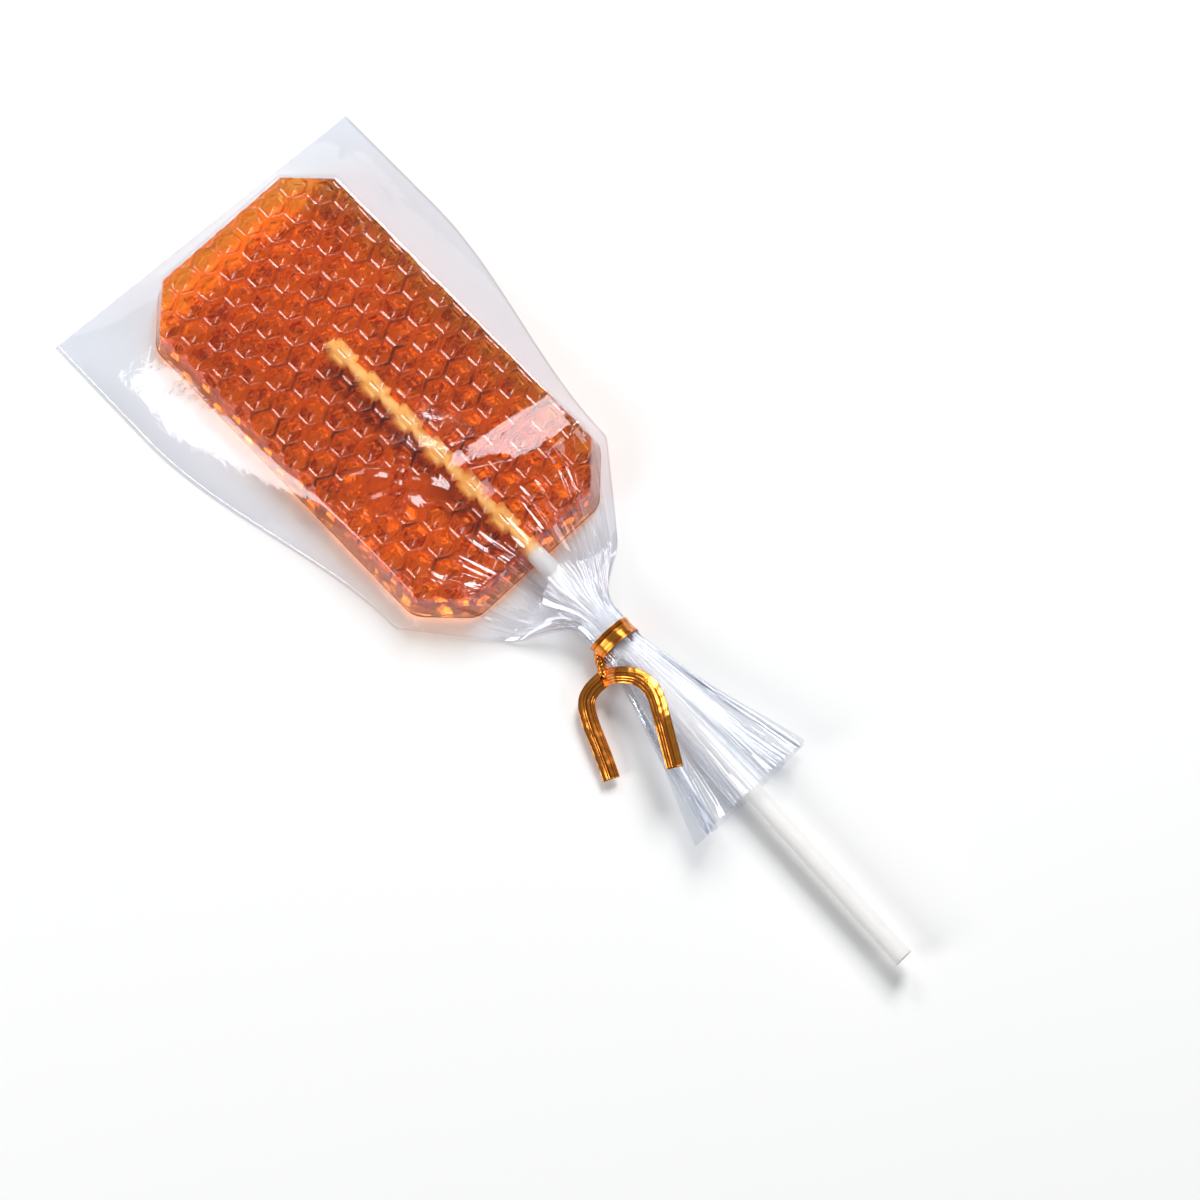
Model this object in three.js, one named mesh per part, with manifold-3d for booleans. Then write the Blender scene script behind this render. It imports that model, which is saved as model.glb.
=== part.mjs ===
// A honey lollipop in its tied clear bag, lying on its back with the moulded face up.
// Millimetres, +Z up. The origin is under the middle of the sweet, on the surface it lies on.
// +Y runs along the sweet, away from the stick, and +X is to the right of the moulded face.
import * as THREE from "three";
import { mergeVertices } from "three/addons/utils/BufferGeometryUtils.js";
import Module from "manifold-3d";

const { clamp, degToRad, lerp, smoothstep } = THREE.MathUtils;

// Driving dimensions

const GAP = 0.2; // left between neighbouring pieces

const CANDY = {
  length: 86.6,
  width: 47,
  thickness: 9,
  cornerCut: 8.3, // leg of the 45 degree corner
  cornerRound: 4,
  draft: 2.05, // how much the moulded face stands in from the back, on each side
  backRound: 0.6,
  faceRound: 1.2,
};

const COMB = {
  pitch: 5.4, // across the flats of a cell
  squash: 0.917, // along the sweet, cells are this much shorter than regular hexagons
  at: { x: 1.8, y: -0.5 }, // middle of one cell
  wall: 0.8, // width of a cell wall's flat top
  flank: 0.35, // how far a wall's side leans into the cell
  depth: 1.8, // at the middle of a cell
  rise: 0.45, // slope of the three facets of a cell's floor
};

// A bee sits on the comb, to the left and towards the stick
const BEE = {
  x: -10.6,
  y: -17.8,
  heading: 51, // degrees from +Y towards +X
  proud: 1, // above the cell walls
  bodyFlatness: 0.62,
  head: { along: 5.6, radius: 1.5 },
  thorax: { along: 2.9, radius: 2.1 },
  abdomen: { from: 0.5, to: -4.8, rings: 4, radius: 2.2, tip: 1.4 },
  foreWing: { root: 2.5, sweep: 12, length: 10, width: 5.2 }, // sweep in degrees, back from straight out
  hindWing: { root: 0.5, sweep: 45, length: 7, width: 4.4 },
  wingStart: 1, // from the body's middle line
  wingProud: 0.3,
  wingDepth: 0.9, // from a wing's highest part down to its rim
  room: { halfLength: 11.5, halfWidth: 6.5 }, // where the film stands clear of the body
};

const STICK = {
  length: 152.4,
  diameter: 3.6,
  buried: 55.4, // length inside the sweet
  height: 4.7, // of its axis above the surface
  bend: 2.2, // degrees, to the left, where it leaves the sweet
  bendLength: 8,
};

const BAG = {
  film: 0.3,
  room: 0.5, // from the cell walls up to the film
  edge: 0.7, // height of the bag's flat edge
  seal: 3.3, // the closed edge, past the end of the sweet
  sealSlope: 0.045, // it runs askew, further out at the left
  right: { far: 33.4, near: 25.5 }, // half widths beside the sweet, at its far end and at the stick
  left: { far: 36.5, near: 27.2 },
  hug: 1.5, // how far outside the moulded face's edge the film bends down
  sag: 1.4, // over 1, the film falls in a hollow line from there to the bag's edge
  puff: 0.9, // at 1, the film at the upper left falls in a full round instead
  gatherFrom: 9, // above the sweet's end
  neckAt: 20.6, // below the sweet's end
  roundFrom: 14, // above the neck, where the film starts to close round the stick
  neckRadius: 3,
  mouthAt: 57.5, // below the sweet's end
  mouthHalfWidth: 12,
  mouthUp: 6.4,
  mouthDown: 4.4,
  pleats: 8,
  pleatDepth: { neck: 0.08, mouth: 0.13 }, // as a share of the radius
  pleatTurn: 3, // radians, from neck to mouth
};

const TIE = {
  width: 3.1,
  thickness: 0.45,
  wire: 0.45, // half width of the bead that the wire makes
  bead: 0.3, // its height
  clearance: 0.35, // from the gathered film
  twist: { reach: [-2.3, 3.6, -0.4], turns: 1.5, radius: 0.7, offset: 0.525 },
  // Both tails go through points that lie to the right of the band, away from the sweet, and up
  tails: [
    [[-4.8, 5.2, 3.4], [-2.7, 8.4, 5.2], [-2.6, 12.5, 6.2], [-5, 17.3, 6.6], [-9.2, 24.9, 5.4]],
    [[-9.2, 3.6, -1], [-11.4, 4.6, -1.4], [-13.2, 7.4, -1.8], [-15.8, 13.6, -2.2], [-17.6, 17.6, -2.6]],
  ],
};

// How many steps the curved pieces are divided into
const STEPS = { corner: 3, dome: 12, domeArc: 4, bar: 20, bend: 4, band: 16, strand: 12, tail: 10 };
const FILM_STEPS = { upper: 26, lower: 13, seal: 5, beside: 17, gathering: 11, tail: 12 };

// Sizes that follow from those

const SWEET_END = CANDY.length / 2;
const SWEET_BACK = BAG.film + GAP;
const FACE_Z = SWEET_BACK + CANDY.thickness;
const FILM_Z = FACE_Z + BAG.room + BAG.film;
const SEAL_Y = SWEET_END + BAG.seal;
const NECK_Y = -SWEET_END - BAG.neckAt;
const MOUTH_Y = -SWEET_END - BAG.mouthAt;
const STICK_RADIUS = STICK.diameter / 2;
const STICK_BEND = degToRad(STICK.bend);
const STICK_TOP_Y = STICK.buried - SWEET_END;
const STICK_FOOT_Y = -SWEET_END - (STICK.length - STICK.buried) * Math.cos(STICK_BEND);
const BEE_TURN = -degToRad(BEE.heading);
const HEXAGON = 6;

const wasm = await Module();
wasm.setup();

// A closed three.js geometry as a solid that can be joined and cut
function solidOf(geometry) {
  const bare = geometry.clone();
  bare.deleteAttribute("normal");
  bare.deleteAttribute("uv");
  const merged = mergeVertices(bare, 1e-4);
  const vertProperties = merged.attributes.position.array;
  const triVerts = new Uint32Array(merged.index.array);
  return new wasm.Manifold(new wasm.Mesh({ numProp: 3, vertProperties, triVerts }));
}

// A solid as a three.js geometry
function geometryOf(solid) {
  const mesh = solid.getMesh();
  const geometry = new THREE.BufferGeometry();
  geometry.setAttribute("position", new THREE.BufferAttribute(mesh.vertProperties, 3));
  geometry.setIndex(new THREE.BufferAttribute(mesh.triVerts, 1));
  geometry.computeVertexNormals();
  return geometry;
}

function joined(solids) {
  return solids.reduce((whole, solid) => whole.add(solid));
}

// Evenly spaced values, both ends included
function spaced(from, to, steps) {
  return Array.from({ length: steps + 1 }, (_, i) => lerp(from, to, i / steps));
}

// A solid skinned over rings of equally many points, each end closed by a fan about its middle.
// Seen from outside the first ring's end, every ring runs anticlockwise.
function loft(rings) {
  const count = rings[0].length;
  const points = rings.flat();
  const lastStart = points.length - count;
  const hubs = [rings[0], rings.at(-1)].map((ring) => {
    const middle = ring.reduce((sum, p) => sum.add(p), new THREE.Vector3()).divideScalar(count);
    return points.push(middle) - 1;
  });
  const triangles = [];
  for (let i = 0; i < count; i++) {
    const next = (i + 1) % count;
    for (let start = 0; start < lastStart; start += count) {
      const [a, b] = [start + i, start + next];
      triangles.push(a, a + count, b, b, a + count, b + count);
    }
    triangles.push(hubs[0], i, next, hubs[1], lastStart + next, lastStart + i);
  }
  return solidOf(new THREE.BufferGeometry().setFromPoints(points).setIndex(triangles));
}

// Outline of the sweet, drawn in by an inset: an oblong with cut, rounded corners
function sweetRing(inset, z) {
  const halfWidth = CANDY.width / 2 - inset;
  const halfLength = CANDY.length / 2 - inset;
  const cut = CANDY.cornerCut - inset * (2 - Math.SQRT2);
  const corners = [
    [halfWidth, halfLength - cut], [halfWidth - cut, halfLength],
    [cut - halfWidth, halfLength], [-halfWidth, halfLength - cut],
    [-halfWidth, cut - halfLength], [cut - halfWidth, -halfLength],
    [halfWidth - cut, -halfLength], [halfWidth, cut - halfLength],
  ].map(([x, y]) => new THREE.Vector2(x, y));
  const tangent = CANDY.cornerRound * Math.tan(Math.PI / corners.length);
  return corners.flatMap((corner, i) => {
    const before = corners.at(i - 1).clone().sub(corner).setLength(tangent).add(corner);
    const after = corners[(i + 1) % corners.length].clone().sub(corner).setLength(tangent).add(corner);
    const arc = new THREE.QuadraticBezierCurve(before, corner, after).getPoints(STEPS.corner);
    return arc.map((p) => new THREE.Vector3(p.x, p.y, z));
  });
}

// The sweet's block before its face is moulded, grown all round by a margin, with room above the face
function sweetBlock(margin = 0, room = 0) {
  const { thickness, draft, backRound, faceRound } = CANDY;
  const shoulder = thickness - faceRound;
  const shoulderInset = (draft * shoulder) / thickness - margin;
  const bevel = Math.SQRT1_2; // half way round the face's edge
  const rings = [
    sweetRing(backRound - margin, SWEET_BACK - margin),
    sweetRing(-margin, SWEET_BACK + backRound),
    sweetRing(shoulderInset, SWEET_BACK + shoulder),
    sweetRing(shoulderInset + faceRound * (1 - bevel), SWEET_BACK + shoulder + faceRound * bevel),
    sweetRing(shoulderInset + faceRound, FACE_Z + room),
  ];
  return loft(rings.reverse());
}

// Middles of the comb's cells, in rows that are set half a cell over from their neighbours
function combCells() {
  const rowStep = COMB.pitch * COMB.squash * Math.sin(Math.PI / 3);
  const rows = Math.ceil(SWEET_END / rowStep) + 1;
  const columns = Math.ceil(CANDY.width / 2 / COMB.pitch) + 1;
  const cells = [];
  for (let row = -rows; row <= rows; row++) {
    const shift = row % 2 ? 0.5 : 0;
    for (let column = -columns; column <= columns; column++) {
      const x = COMB.at.x + (column + shift) * COMB.pitch;
      cells.push(new THREE.Vector2(x, COMB.at.y + row * rowStep));
    }
  }
  return cells;
}

// A point of a squashed hexagon about a cell's middle, with two sides along Y
function hexagonPoint(cell, radius, k, z) {
  const angle = ((2 * k + 1) * Math.PI) / HEXAGON;
  const along = COMB.squash * radius * Math.sin(angle);
  return new THREE.Vector3(cell.x + radius * Math.cos(angle), cell.y + along, z);
}

// A slab whose top is a comb: flat-topped walls round cells whose floors have three facets
function combSlab() {
  const { pitch, wall, flank, depth, rise } = COMB;
  const radiusInside = (inset) => (pitch / 2 - inset) / Math.cos(Math.PI / HEXAGON);
  const [outer, crest, foot] = [0, wall / 2, wall / 2 + flank].map(radiusInside);
  // Every other corner of a floor is the top of a facet, and those between them lie in the creases
  const floorZ = (k) => FACE_Z - depth + rise * foot * (k % 2 ? 0.5 : 1);
  const positions = [];
  const addFaces = (...points) => points.forEach((p) => positions.push(p.x, p.y, p.z));
  const cells = combCells();
  const isCell = (x, y) => cells.some((cell) => Math.hypot(cell.x - x, cell.y - y) < pitch / 2);
  for (const cell of cells) {
    const middle = new THREE.Vector3(cell.x, cell.y, FACE_Z - depth);
    const below = new THREE.Vector3(cell.x, cell.y, 0);
    for (let k = 0; k < HEXAGON; k++) {
      const side = [k, k + 1];
      const [o1, o2] = side.map((n) => hexagonPoint(cell, outer, n, FACE_Z));
      const [c1, c2] = side.map((n) => hexagonPoint(cell, crest, n, FACE_Z));
      const [f1, f2] = side.map((n) => hexagonPoint(cell, foot, n, floorZ(n)));
      const [b1, b2] = side.map((n) => hexagonPoint(cell, outer, n, 0));
      addFaces(o1, o2, c1, c1, o2, c2);
      addFaces(c1, c2, f1, f1, c2, f2);
      addFaces(f1, f2, middle);
      addFaces(b2, b1, below);
      const beyond = o1.clone().add(o2).sub(middle);
      if (!isCell(beyond.x, beyond.y)) addFaces(o2, o1, b1, b1, b2, o2);
    }
  }
  const geometry = new THREE.BufferGeometry();
  geometry.setAttribute("position", new THREE.Float32BufferAttribute(positions, 3));
  return solidOf(geometry);
}

// A place on the face, from the bee's middle: along its body, and across to its right
function byTheBee(along, across) {
  const place = new THREE.Vector2(across, along).rotateAround(new THREE.Vector2(), BEE_TURN);
  return place.add(new THREE.Vector2(BEE.x, BEE.y));
}

// A low dome on an oval post that goes down through the comb
function dome(place, z, { halfLength, halfWidth }, height, turn) {
  const postFoot = -(COMB.depth + BEE.proud) / height;
  const profile = [new THREE.Vector2(0, postFoot), new THREE.Vector2(1, postFoot)];
  for (const angle of spaced(0, Math.PI / 2, STEPS.domeArc)) {
    profile.push(new THREE.Vector2(Math.cos(angle), Math.sin(angle)));
  }
  profile.at(-1).x = 0;
  const geometry = new THREE.LatheGeometry(profile, STEPS.dome).rotateX(Math.PI / 2);
  geometry.scale(halfWidth, halfLength, height).rotateZ(turn);
  return solidOf(geometry.translate(place.x, place.y, z));
}

// The moulded bee: head, thorax, a ringed abdomen and two pairs of wings
function bee() {
  const { head, thorax, abdomen, foreWing, hindWing } = BEE;
  const bodyZ = FACE_Z + BEE.proud - abdomen.radius * BEE.bodyFlatness;
  const wingZ = FACE_Z + BEE.wingProud - BEE.wingDepth;
  const rings = spaced(0, 1, abdomen.rings - 1).map((t) => ({
    along: lerp(abdomen.from, abdomen.to, t),
    radius: lerp(abdomen.radius, abdomen.tip, t * t),
  }));
  const body = [head, thorax, ...rings].map(({ along, radius }) => {
    const size = { halfLength: radius, halfWidth: radius };
    return dome(byTheBee(along, 0), bodyZ, size, radius * BEE.bodyFlatness, BEE_TURN);
  });
  const wings = [foreWing, hindWing].flatMap(({ root, sweep, length, width }) =>
    [-1, 1].map((side) => {
      const lean = degToRad(sweep);
      const reach = BEE.wingStart + length / 2;
      const place = byTheBee(root - reach * Math.sin(lean), side * reach * Math.cos(lean));
      const size = { halfLength: width / 2, halfWidth: length / 2 };
      return dome(place, wingZ, size, BEE.wingDepth, BEE_TURN - side * lean);
    }),
  );
  return joined([...body, ...wings]);
}

// Where the stick's axis runs: straight in the sweet, a short bend to the left, then straight again
function stickX(y) {
  const out = Math.max(0, -SWEET_END - y);
  const bent = Math.min(out, STICK.bendLength);
  return -Math.tan(STICK_BEND) * (bent ** 2 / (2 * STICK.bendLength) + out - bent);
}

// A round bar along the stick's axis
function bar(radius, fromY, toY) {
  const bend = spaced(-SWEET_END, -SWEET_END - STICK.bendLength, STEPS.bend);
  const rings = [fromY, ...bend, toY].map((y) => {
    const lean = STICK_BEND * clamp((-SWEET_END - y) / STICK.bendLength, 0, 1);
    return spaced(0, 2 * Math.PI, STEPS.bar).slice(1).map((angle) => {
      const across = radius * Math.cos(angle);
      const z = STICK.height + radius * Math.sin(angle);
      return new THREE.Vector3(stickX(y) + across * Math.cos(lean), y - across * Math.sin(lean), z);
    });
  });
  return loft(rings.reverse());
}

// The sweet: its block trimmed to the comb, with the bee on it, cast round the stick
function sweet() {
  const core = bar(STICK_RADIUS + GAP, STICK_TOP_Y + GAP, MOUTH_Y);
  return sweetBlock().intersect(combSlab()).add(bee()).subtract(core);
}

// How far a point is outside the sweet's moulded face
function outsideFace(x, y) {
  const halfWidth = CANDY.width / 2 - CANDY.draft;
  const halfLength = CANDY.length / 2 - CANDY.draft;
  const cut = CANDY.cornerCut - CANDY.draft * (2 - Math.SQRT2);
  const point = new THREE.Vector3(Math.abs(x), Math.abs(y), 0);
  if (point.y < halfLength - cut) return Math.max(0, point.x - halfWidth);
  if (point.x < halfWidth - cut) return Math.max(0, point.y - halfLength);
  if (point.x + point.y < halfWidth + halfLength - cut) return 0;
  const corner = new THREE.Line3(
    new THREE.Vector3(halfWidth, halfLength - cut, 0),
    new THREE.Vector3(halfWidth - cut, halfLength, 0),
  );
  return corner.closestPointToPoint(point, true, new THREE.Vector3()).distanceTo(point);
}

// How far the bee lifts the film
function beeLift(x, y) {
  const { halfLength } = BEE.room;
  const away = Math.hypot(x - BEE.x, y - BEE.y);
  return (BEE.proud + GAP - BAG.room) * (1 - smoothstep(away, halfLength / 2, 1.5 * halfLength));
}

// Half width of the bag on one side, beside the sweet and on down to the neck
function bagHalfWidth(y, { far, near }) {
  const beside = lerp(near, far, smoothstep(y, -SWEET_END + CANDY.cornerCut, SWEET_END / 2));
  const gatherLength = BAG.neckAt + BAG.gatherFrom;
  return lerp(BAG.neckRadius, beside, clamp((y - NECK_Y) / gatherLength, 0, 1));
}

// Height of the upper film: flat over the sweet, falling to the bag's edge, and held up by the stick
function filmTop(x, y, right, left) {
  const outside = Math.max(0, outsideFace(x, y) - BAG.hug);
  const inside = Math.max(0, Math.min(right - x, left + x, SEAL_Y - BAG.sealSlope * x - y));
  const fall = outside > 0 ? outside / (outside + inside) : 0;
  const atLeft = smoothstep(-x, CANDY.width / 4, CANDY.width / 2);
  const atFarEnd = smoothstep(y, -SWEET_END / 2, SWEET_END / 2);
  const share = lerp((1 - fall) ** BAG.sag, 1 - fall ** 2, BAG.puff * atLeft * atFarEnd);
  const overSweet = lerp(BAG.edge, FILM_Z, share) + beeLift(x, y);
  if (y > CANDY.draft - SWEET_END) return overSweet;
  const beside = Math.max(0, Math.abs(x - stickX(y)) - STICK_RADIUS);
  return Math.max(overSweet, STICK.height + STICK_RADIUS + 3 * BAG.film - beside / 2);
}

// One ring round the bag, from its right edge over the top to the left edge, and back below
function bagRing(y) {
  const edgeAngle = Math.PI / (2 * FILM_STEPS.lower);
  const edgeShare = 0.995; // the lower film stops just short of the upper one's edge
  const upper = spaced(0, 1, FILM_STEPS.upper).map((t) => [Math.PI * t, 1 - 2 * t, true]);
  const lower = spaced(0, 1, FILM_STEPS.lower).map((t) => [
    lerp(Math.PI + edgeAngle, 2 * Math.PI - edgeAngle, t), edgeShare * (2 * t - 1), false,
  ]);
  const right = bagHalfWidth(y, BAG.right);
  const left = bagHalfWidth(y, BAG.left);
  const askew = BAG.sealSlope * smoothstep(y, -SWEET_END, SEAL_Y);
  const gathered = 1 - smoothstep(y, NECK_Y + TIE.width, NECK_Y + BAG.roundFrom);
  const flare = clamp((NECK_Y - TIE.width - y) / (NECK_Y - TIE.width - MOUTH_Y), 0, 1);
  return [...upper, ...lower].map(([angle, across, isUpper]) => {
    const flat = new THREE.Vector3(stickX(y) + across * (across > 0 ? right : left), y, 0);
    flat.y -= askew * flat.x;
    if (isUpper) flat.z = filmTop(flat.x, flat.y, right, left);
    const depth = lerp(BAG.pleatDepth.neck, BAG.pleatDepth.mouth, flare);
    const pleat = 1 + depth * Math.cos(BAG.pleats * angle + BAG.pleatTurn * flare);
    const halfWidth = lerp(BAG.neckRadius, BAG.mouthHalfWidth, flare);
    const halfHeight = lerp(BAG.neckRadius, isUpper ? BAG.mouthUp : BAG.mouthDown, flare);
    const x = stickX(y) + halfWidth * pleat * Math.cos(angle);
    const z = STICK.height + halfHeight * Math.min(pleat, 1) * Math.sin(angle);
    return flat.lerp(new THREE.Vector3(x, y, z), gathered);
  });
}

// The bag: its outer form, closed round the sweet and the stick, with a pleated tail below the neck
function bag() {
  const closeBy = CANDY.draft + CANDY.faceRound;
  const stations = [
    ...spaced(MOUTH_Y, NECK_Y - TIE.width / 2, FILM_STEPS.tail),
    ...spaced(NECK_Y + TIE.width / 2, closeBy - SWEET_END, FILM_STEPS.gathering),
    ...spaced(2 * closeBy - SWEET_END, SWEET_END - 2 * closeBy, FILM_STEPS.beside),
    ...spaced(SWEET_END - 1.5 * closeBy, SEAL_Y, FILM_STEPS.seal),
  ];
  const roomHeight = COMB.depth + BEE.proud + GAP;
  const beeRoom = dome(byTheBee(0, 0), FACE_Z - COMB.depth, BEE.room, roomHeight, BEE_TURN);
  return loft(stations.map(bagRing))
    .subtract(sweetBlock(GAP, BAG.room).add(beeRoom))
    .subtract(bar(STICK_RADIUS + GAP, STICK_TOP_Y + GAP, MOUTH_Y - GAP));
}

// A flat ribbon through points, face up, with a bead along its middle for the wire
function ribbon(points) {
  const [w, t] = [TIE.width / 2, TIE.thickness / 2];
  const section = [[-w, -t], [w, -t], [w, t], [TIE.wire, t], [0, t + TIE.bead], [-TIE.wire, t], [-w, t]];
  const rings = points.map((point, i) => {
    const before = points[Math.max(i - 1, 0)];
    const after = points[Math.min(i + 1, points.length - 1)];
    const tangent = after.clone().sub(before).normalize();
    const across = new THREE.Vector3(0, 0, 1).cross(tangent).normalize();
    const up = tangent.clone().cross(across);
    return section.map(([a, b]) => point.clone().addScaledVector(across, a).addScaledVector(up, b));
  });
  return loft(rings.reverse());
}

// One of the two strands that are wound about each other, as a thin bar
function strand(start, end, phase) {
  const { turns, radius, offset } = TIE.twist;
  const axis = end.clone().sub(start);
  const side = new THREE.Vector3(0, 0, 1);
  const other = axis.clone().cross(side).normalize();
  const path = spaced(0, 1, STEPS.strand).map((t) => {
    const angle = phase + 2 * Math.PI * turns * t;
    const out = other.clone().multiplyScalar(Math.sin(angle)).addScaledVector(side, Math.cos(angle));
    return start.clone().addScaledVector(axis, t).addScaledVector(out, offset);
  });
  const corners = spaced(0, 2 * Math.PI, HEXAGON).slice(1).map((angle) =>
    new THREE.Vector2(Math.cos(angle), Math.sin(angle)).multiplyScalar(radius),
  );
  const extrudePath = new THREE.CatmullRomCurve3(path);
  const options = { steps: STEPS.strand, bevelEnabled: false, extrudePath };
  return solidOf(new THREE.ExtrudeGeometry(new THREE.Shape(corners), options));
}

// The gold twist tie: a band round the neck, two strands wound together, and two loose tails
function twistTie() {
  const middle = new THREE.Vector3(stickX(NECK_Y), NECK_Y, STICK.height);
  const place = ([x, y, z]) => new THREE.Vector3(x, -y, z).add(middle);
  const inner = BAG.neckRadius * (1 + BAG.pleatDepth.neck) + TIE.clearance;
  const outer = inner + TIE.thickness;
  const half = TIE.width / 2;
  const profile = [
    [inner, -half], [outer, -half], [outer, -TIE.wire], [outer + TIE.bead, 0],
    [outer, TIE.wire], [outer, half], [inner, half], [inner, -half],
  ].map(([radius, y]) => new THREE.Vector2(radius, y));
  const band = new THREE.LatheGeometry(profile, STEPS.band).rotateZ(-STICK_BEND);
  const start = place([-outer, 0, 0]);
  const [reachX, reachY, reachZ] = TIE.twist.reach;
  const end = place([reachX - outer, reachY, reachZ]);
  const pieces = TIE.tails.flatMap((tail, n) => {
    const route = new THREE.CatmullRomCurve3([end, ...tail.map(place)]);
    return [strand(start, end, n * Math.PI), ribbon(route.getPoints(STEPS.tail))];
  });
  return joined([solidOf(band.translate(middle.x, middle.y, middle.z)), ...pieces]);
}

const MATERIALS = {
  honey: { color: 0xb5480f, roughness: 0.12, transparent: true, opacity: 0.9 },
  paper: { color: 0xf4f3f0, roughness: 0.75 },
  film: { color: 0xeef1f5, roughness: 0.08, transparent: true, opacity: 0.25 },
  gold: { color: 0xd98a1c, roughness: 0.28, metalness: 1 },
};

function piece(name, solid, material) {
  const mesh = new THREE.Mesh(geometryOf(solid), new THREE.MeshStandardMaterial(material));
  mesh.name = name;
  return mesh;
}

const lollipop = new THREE.Group();
lollipop.add(
  piece("candy", sweet(), MATERIALS.honey),
  piece("stick", bar(STICK_RADIUS, STICK_TOP_Y, STICK_FOOT_Y), MATERIALS.paper),
  piece("bag", bag(), MATERIALS.film),
  piece("twist_tie", twistTie(), MATERIALS.gold),
);

export default lollipop;
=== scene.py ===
"""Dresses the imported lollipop: clear amber sugar, a rolled paper stick, thin film and a gold foil tie.

Sizes are in millimetres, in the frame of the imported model, and become metres when a mesh is made.
+Y runs along the sweet, away from the stick, +X to the right of its moulded face, and +Z up.
"""

import logging
import math
from dataclasses import dataclass, field
from enum import Enum

import bmesh
import bpy
import numpy as np
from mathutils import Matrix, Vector
from numpy.typing import NDArray

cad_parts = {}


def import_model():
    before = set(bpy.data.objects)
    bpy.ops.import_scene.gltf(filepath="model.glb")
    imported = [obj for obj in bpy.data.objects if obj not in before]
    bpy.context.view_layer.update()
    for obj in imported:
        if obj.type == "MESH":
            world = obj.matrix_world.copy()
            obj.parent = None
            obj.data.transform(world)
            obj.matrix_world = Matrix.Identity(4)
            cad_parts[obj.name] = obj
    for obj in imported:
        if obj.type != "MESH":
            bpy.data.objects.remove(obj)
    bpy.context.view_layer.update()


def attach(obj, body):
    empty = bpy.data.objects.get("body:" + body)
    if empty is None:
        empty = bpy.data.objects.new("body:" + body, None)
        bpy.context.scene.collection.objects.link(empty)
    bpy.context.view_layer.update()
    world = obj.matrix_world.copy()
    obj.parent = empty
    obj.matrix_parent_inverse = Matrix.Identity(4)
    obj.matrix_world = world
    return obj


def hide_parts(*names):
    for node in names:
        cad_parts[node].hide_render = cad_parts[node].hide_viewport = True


Array = NDArray[np.float64]

MM = 0.001
PAINTED_SHADE = "crease"  # on the sweet: painted shade, 1 where a cell wall would turn the light away
PAINTED_TONE = "painted_tone"  # on the sweet: painted light and shade, how light each facet of its comb is painted
LAYERS = "layers"  # on the film: how many layers lie together
STREAK = "streak"  # on the tie: place across its foil, in millimetres
COLOURS = {"data_type": "RGBA"}  # makes a Mix node mix colours, which are then its sockets 6 and 7
log = logging.getLogger("lollipop")


class Slot(Enum):
    """Names of the material slots."""

    HONEY = "honey"
    PAPER = "paper"
    FILM = "film"
    GOLD = "gold"


# Numbers on whole arrays


def smoothstep(value: Array, low: float, high: float) -> Array:
    """Rises from 0 at low to 1 at high as 3t^2 - 2t^3."""
    t = np.clip((value - low) / (high - low), 0, 1)
    return t * t * (3 - 2 * t)


def blend(low: Array, high: Array, share: Array) -> Array:
    """Goes from low to high in proportion to the share."""
    return low + (high - low) * share


def ramp(value: Array, soft: float) -> Array:
    """The larger of 0 and value, with its bend rounded to (v + s)^2 / 4s within s of 0."""
    return np.where(np.abs(value) < soft, (value + soft) ** 2 / (4 * soft), np.maximum(value, 0))


def soft_max(one: Array, other: Array, soft: float) -> Array:
    """The larger of two heights, with a rounded crease: half of their sum plus their soft distance."""
    return (one + other + np.sqrt((one - other) ** 2 + soft**2)) / 2


def ripples(x: Array, y: Array, wavelength: float, seed: int) -> Array:
    """Uneven ripples of about -1 to 1: a mean of cosines with random directions, lengths and phases.

    Args:
        x: Places across, in millimetres.
        y: Places along, in millimetres.
        wavelength: Middle length of the waves, in millimetres.
        seed: Which draw of waves.

    Returns:
        The ripple at each place.
    """
    waves = 11
    draw = np.random.default_rng(seed)
    turns = draw.uniform(0, np.pi, waves)
    lengths = wavelength * draw.uniform(0.7, 1.5, waves)
    phases = draw.uniform(0, 2 * np.pi, waves)
    total = np.zeros(np.broadcast(x, y).shape)
    for turn, length, phase in zip(turns, lengths, phases):
        total += np.cos(2 * np.pi / length * (x * np.cos(turn) + y * np.sin(turn)) + phase)
    return total / math.sqrt(waves)


def normalised(vectors: Array) -> Array:
    """The vectors at length 1."""
    return vectors / np.linalg.norm(vectors, axis=-1, keepdims=True)


def smooth_path(points: Array, count: int) -> Array:
    """Catmull-Rom curve through points, with the ends repeated, at evenly spaced parameters.

    Args:
        points: The points that it goes through, as rows.
        count: How many places along it to give.

    Returns:
        The places, as rows.
    """
    ends = np.vstack((2 * points[0] - points[1], points, 2 * points[-1] - points[-2]))
    along = np.linspace(0, len(points) - 1, count)
    first = np.minimum(along.astype(int), len(points) - 2)
    t = (along - first)[:, None]
    p0, p1, p2, p3 = (ends[first + step] for step in range(4))
    bend = (2 * p0 - 5 * p1 + 4 * p2 - p3) * t**2 + (3 * p1 - p0 - 3 * p2 + p3) * t**3
    return p1 + ((p2 - p0) * t + bend) / 2


# Meshes


def grid_quads(rows: int, columns: int, wraps: bool = False) -> NDArray[np.int64]:
    """Corners of a grid's quads, with vertices numbered row by row.

    Args:
        rows: Rows of vertices.
        columns: Columns of vertices.
        wraps: Whether the last column joins the first.

    Returns:
        Four vertex numbers a row, anticlockwise where columns run right and rows up.
    """
    index = np.arange(rows * columns).reshape(rows, columns)
    if wraps:
        index = np.hstack((index, index[:, :1]))
    corners = (index[:-1, :-1], index[:-1, 1:], index[1:, 1:], index[1:, :-1])
    return np.stack(corners, axis=-1).reshape(-1, 4)


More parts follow.
